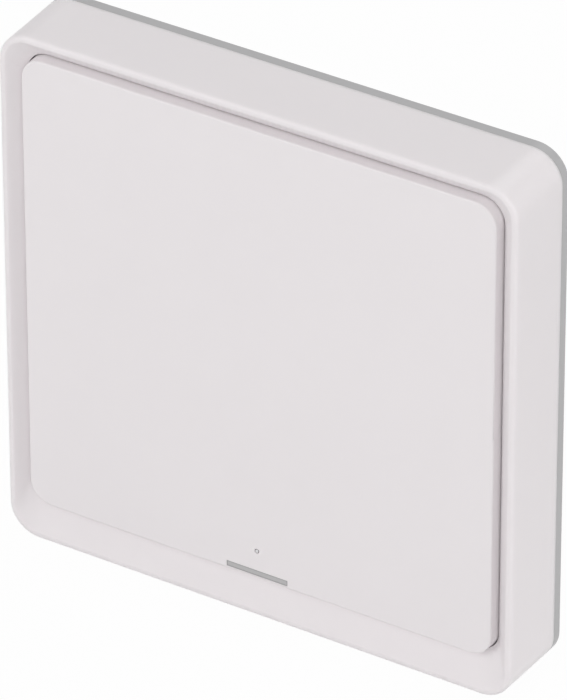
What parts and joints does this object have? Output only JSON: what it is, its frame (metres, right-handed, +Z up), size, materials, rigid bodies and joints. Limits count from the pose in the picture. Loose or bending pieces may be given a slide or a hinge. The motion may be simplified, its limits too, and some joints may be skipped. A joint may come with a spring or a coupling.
{
  "type": "wireless remote wall switch",
  "caption": "Square wireless wall switch: a large white paddle in a sloped white frame on a thin grey wall plate, with a tiny indicator window, a grey marker bar and a cell-powered radio board.",
  "frame": {"origin": "centre of the wall plate's back face, on the wall", "axes": "+Y into the wall, so the paddle faces -Y; +Z up; +X to the right for someone who faces the paddle"},
  "size_m": [0.086, 0.0136, 0.086],
  "materials": {
    "white_plastic": "fine satin",
    "grey_plastic": "fine satin",
    "tray_plastic": "matte",
    "board_laminate": "solder mask",
    "zinc_steel": "zinc plated",
    "spring_steel": "bright rolled",
    "tinned_metal": "tinned",
    "black_plastic": "moulded",
    "light_pipe": "clear, polished",
    "ceramic": "fired",
    "capacitor_resin": "moulded resin"
  },
  "bodies": {
    "switch_housing": {"wall_plate": "grey_plastic", "base_tray": "tray_plastic", "housing_frame": "white_plastic", "circuit_board": "board_laminate", "board_screws": "zinc_steel", "switch_base": "black_plastic", "switch_dome": "spring_steel", "switch_cover": "spring_steel", "switch_leads": "tinned_metal", "coin_cell": "spring_steel", "cell_holder": "black_plastic", "positive_contact": "tinned_metal", "negative_contact": "tinned_metal", "radio_board": "board_laminate", "radio_shield": "tinned_metal", "chip_antenna": "ceramic", "clock_crystal": "tinned_metal", "indicator_led": "light_pipe", "regulator_chip": "black_plastic", "supply_capacitors": "capacitor_resin", "chip_resistors": "ceramic"},
    "paddle": {"rocker_paddle": "white_plastic", "marker_bar": "grey_plastic", "indicator_window": "light_pipe"},
    "plunger": {"switch_plunger": "black_plastic"}
  },
  "joints": [
    {"name": "rocker_tilt", "type": "hinge", "parent": "switch_housing", "child": "paddle", "pos_m": [0, -0.008, 0.034], "axis": [1, 0, 0], "range_deg": [0, 0.53], "stiffness_Nm_per_rad": 9.3, "springref_deg": -0.17},
    {"name": "plunger_press", "type": "slide", "parent": "switch_housing", "child": "plunger", "axis": [0, 1, 0], "range_m": [0, 0.0005], "deforming": ["switch_dome"]}
  ],
  "couplings": [
    {"joint": "plunger_press", "follows": "rocker_tilt", "m_per_rad": 0.054}
  ]
}
